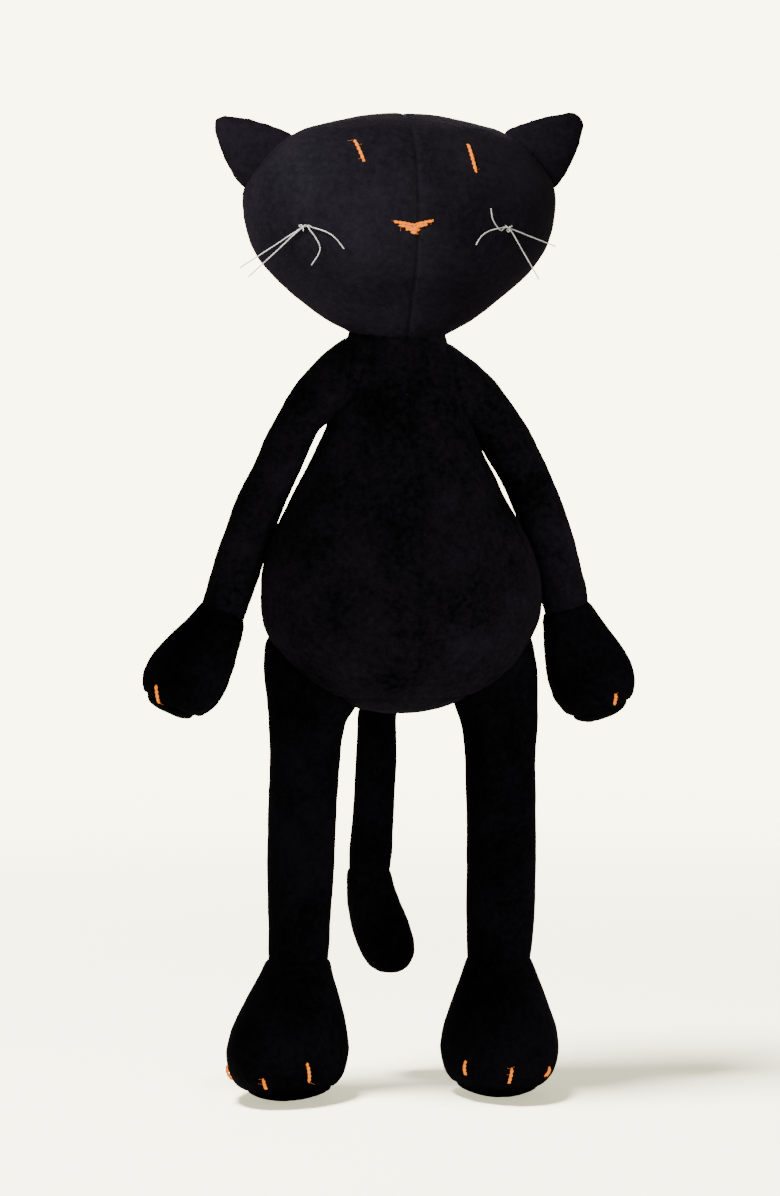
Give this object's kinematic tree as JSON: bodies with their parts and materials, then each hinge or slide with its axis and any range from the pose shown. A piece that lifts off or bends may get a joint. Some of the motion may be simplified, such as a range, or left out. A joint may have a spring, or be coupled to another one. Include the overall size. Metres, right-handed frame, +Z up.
{
  "type": "plush toy cat",
  "caption": "Long-limbed soft toy cat in short-pile velour, with a wide stuffed head, pear-shaped body, thin hanging arms, tube legs with weighted feet, stitched face and claws, and a tail.",
  "frame": {"origin": "on the floor under the middle of the toy's box", "axes": "+Z up along the toy's height, -Y the way the face looks, +X to the right of somebody who looks at the face"},
  "size_m": [0.2524, 0.1171, 0.4987],
  "materials": {
    "black_velour": "short dense black pile, slightly mottled",
    "white_fibre": "loose white polyester fibre",
    "calico": "plain woven cotton bag filled with pellets",
    "orange_yarn": "twisted fuzzy yarn",
    "white_nylon": "stiff glossy filament",
    "black_thread": "doubled sewing thread"
  },
  "bodies": {
    "torso": {"torso_front_left": "black_velour", "torso_front_right": "black_velour", "torso_back": "black_velour", "torso_base": "black_velour", "torso_stuffing": "white_fibre", "pellet_bag": "calico"},
    "neck_thread": {"neck_thread": "black_thread"},
    "head": {"head_front_left": "black_velour", "head_front_right": "black_velour", "head_back": "black_velour", "head_stuffing": "white_fibre", "eye_stitch_left": "orange_yarn", "eye_stitch_right": "orange_yarn", "nose_stitch": "orange_yarn", "whisker_left_1": "white_nylon", "whisker_left_2": "white_nylon", "whisker_right_1": "white_nylon", "whisker_right_2": "white_nylon"},
    "ear_left": {"ear_left_front": "black_velour", "ear_left_back": "black_velour"},
    "ear_right": {"ear_right_front": "black_velour", "ear_right_back": "black_velour"},
    "arm_left": {"arm_left_sleeve": "black_velour", "arm_left_stuffing": "white_fibre"},
    "hand_left": {"hand_left_top": "black_velour", "hand_left_sole": "black_velour", "hand_left_stuffing": "white_fibre", "hand_left_claw_1": "orange_yarn", "hand_left_claw_2": "orange_yarn", "hand_left_claw_3": "orange_yarn"},
    "arm_right": {"arm_right_sleeve": "black_velour", "arm_right_stuffing": "white_fibre"},
    "hand_right": {"hand_right_top": "black_velour", "hand_right_sole": "black_velour", "hand_right_stuffing": "white_fibre", "hand_right_claw_1": "orange_yarn", "hand_right_claw_2": "orange_yarn", "hand_right_claw_3": "orange_yarn"},
    "leg_left": {"leg_left_sleeve": "black_velour", "leg_left_stuffing": "white_fibre"},
    "foot_left": {"foot_left_top": "black_velour", "foot_left_sole": "black_velour", "foot_left_stuffing": "white_fibre", "foot_left_claw_1": "orange_yarn", "foot_left_claw_2": "orange_yarn", "foot_left_claw_3": "orange_yarn"},
    "leg_right": {"leg_right_sleeve": "black_velour", "leg_right_stuffing": "white_fibre"},
    "foot_right": {"foot_right_top": "black_velour", "foot_right_sole": "black_velour", "foot_right_stuffing": "white_fibre", "foot_right_claw_1": "orange_yarn", "foot_right_claw_2": "orange_yarn", "foot_right_claw_3": "orange_yarn"},
    "tail": {"tail_sleeve": "black_velour", "tail_stuffing": "white_fibre"},
    "tail_tip": {"tail_tip_cover": "black_velour", "tail_tip_stuffing": "white_fibre"}
  },
  "joints": [
    {"name": "neck_turn", "type": "hinge", "parent": "torso", "child": "neck_thread", "pos_m": [0.0042, -0.0065, 0.3845], "axis": [0, 0, 1], "range_deg": [-40, 40]},
    {"name": "neck_nod", "type": "hinge", "parent": "neck_thread", "child": "head", "pos_m": [0.0029, -0.0065, 0.3845], "axis": [-1, 0, 0], "range_deg": [-14, 12]},
    {"name": "ear_left_fold", "type": "hinge", "parent": "head", "child": "ear_left", "pos_m": [-0.0651, -0.0065, 0.477], "axis": [-0.666, 0, -0.746], "range_deg": [-20, 20], "stiffness_Nm_per_rad": 0.004},
    {"name": "ear_right_fold", "type": "hinge", "parent": "head", "child": "ear_right", "pos_m": [0.0709, -0.0065, 0.477], "axis": [0.666, 0, -0.746], "range_deg": [-20, 20], "stiffness_Nm_per_rad": 0.004},
    {"name": "shoulder_left", "type": "hinge", "parent": "torso", "child": "arm_left", "pos_m": [-0.0366, -0.0065, 0.3655], "axis": [-1, 0, 0], "range_deg": [-40, 100]},
    {"name": "wrist_left", "type": "hinge", "parent": "arm_left", "child": "hand_left", "pos_m": [-0.0866, 0.0025, 0.2465], "axis": [-1, 0, 0], "range_deg": [-40, 40], "stiffness_Nm_per_rad": 0.004},
    {"name": "shoulder_right", "type": "hinge", "parent": "torso", "child": "arm_right", "pos_m": [0.045, -0.0065, 0.3655], "axis": [-1, 0, 0], "range_deg": [-40, 100]},
    {"name": "wrist_right", "type": "hinge", "parent": "arm_right", "child": "hand_right", "pos_m": [0.0905, 0.0025, 0.2465], "axis": [-1, 0, 0], "range_deg": [-40, 40], "stiffness_Nm_per_rad": 0.004},
    {"name": "hip_left", "type": "hinge", "parent": "torso", "child": "leg_left", "pos_m": [-0.0458, -0.0025, 0.191], "axis": [-0.9877, 0.1564, 0], "range_deg": [-20, 90]},
    {"name": "ankle_left", "type": "hinge", "parent": "leg_left", "child": "foot_left", "pos_m": [-0.0494, -0.0065, 0.069], "axis": [-1, 0, 0], "range_deg": [-30, 25]},
    {"name": "hip_right", "type": "hinge", "parent": "torso", "child": "leg_right", "pos_m": [0.0542, -0.0025, 0.191], "axis": [-0.9877, -0.1564, 0], "range_deg": [-20, 90]},
    {"name": "ankle_right", "type": "hinge", "parent": "leg_right", "child": "foot_right", "pos_m": [0.054, -0.0065, 0.069], "axis": [-1, 0, 0], "range_deg": [-30, 25]},
    {"name": "tail_swing", "type": "hinge", "parent": "torso", "child": "tail", "pos_m": [0.0032, 0.043, 0.219], "axis": [1, 0, 0], "range_deg": [-3, 110]},
    {"name": "tail_tip_bend", "type": "hinge", "parent": "tail", "child": "tail_tip", "pos_m": [-0.0056, 0.044, 0.109], "axis": [1, 0, 0], "range_deg": [-40, 40], "stiffness_Nm_per_rad": 0.002}
  ]
}
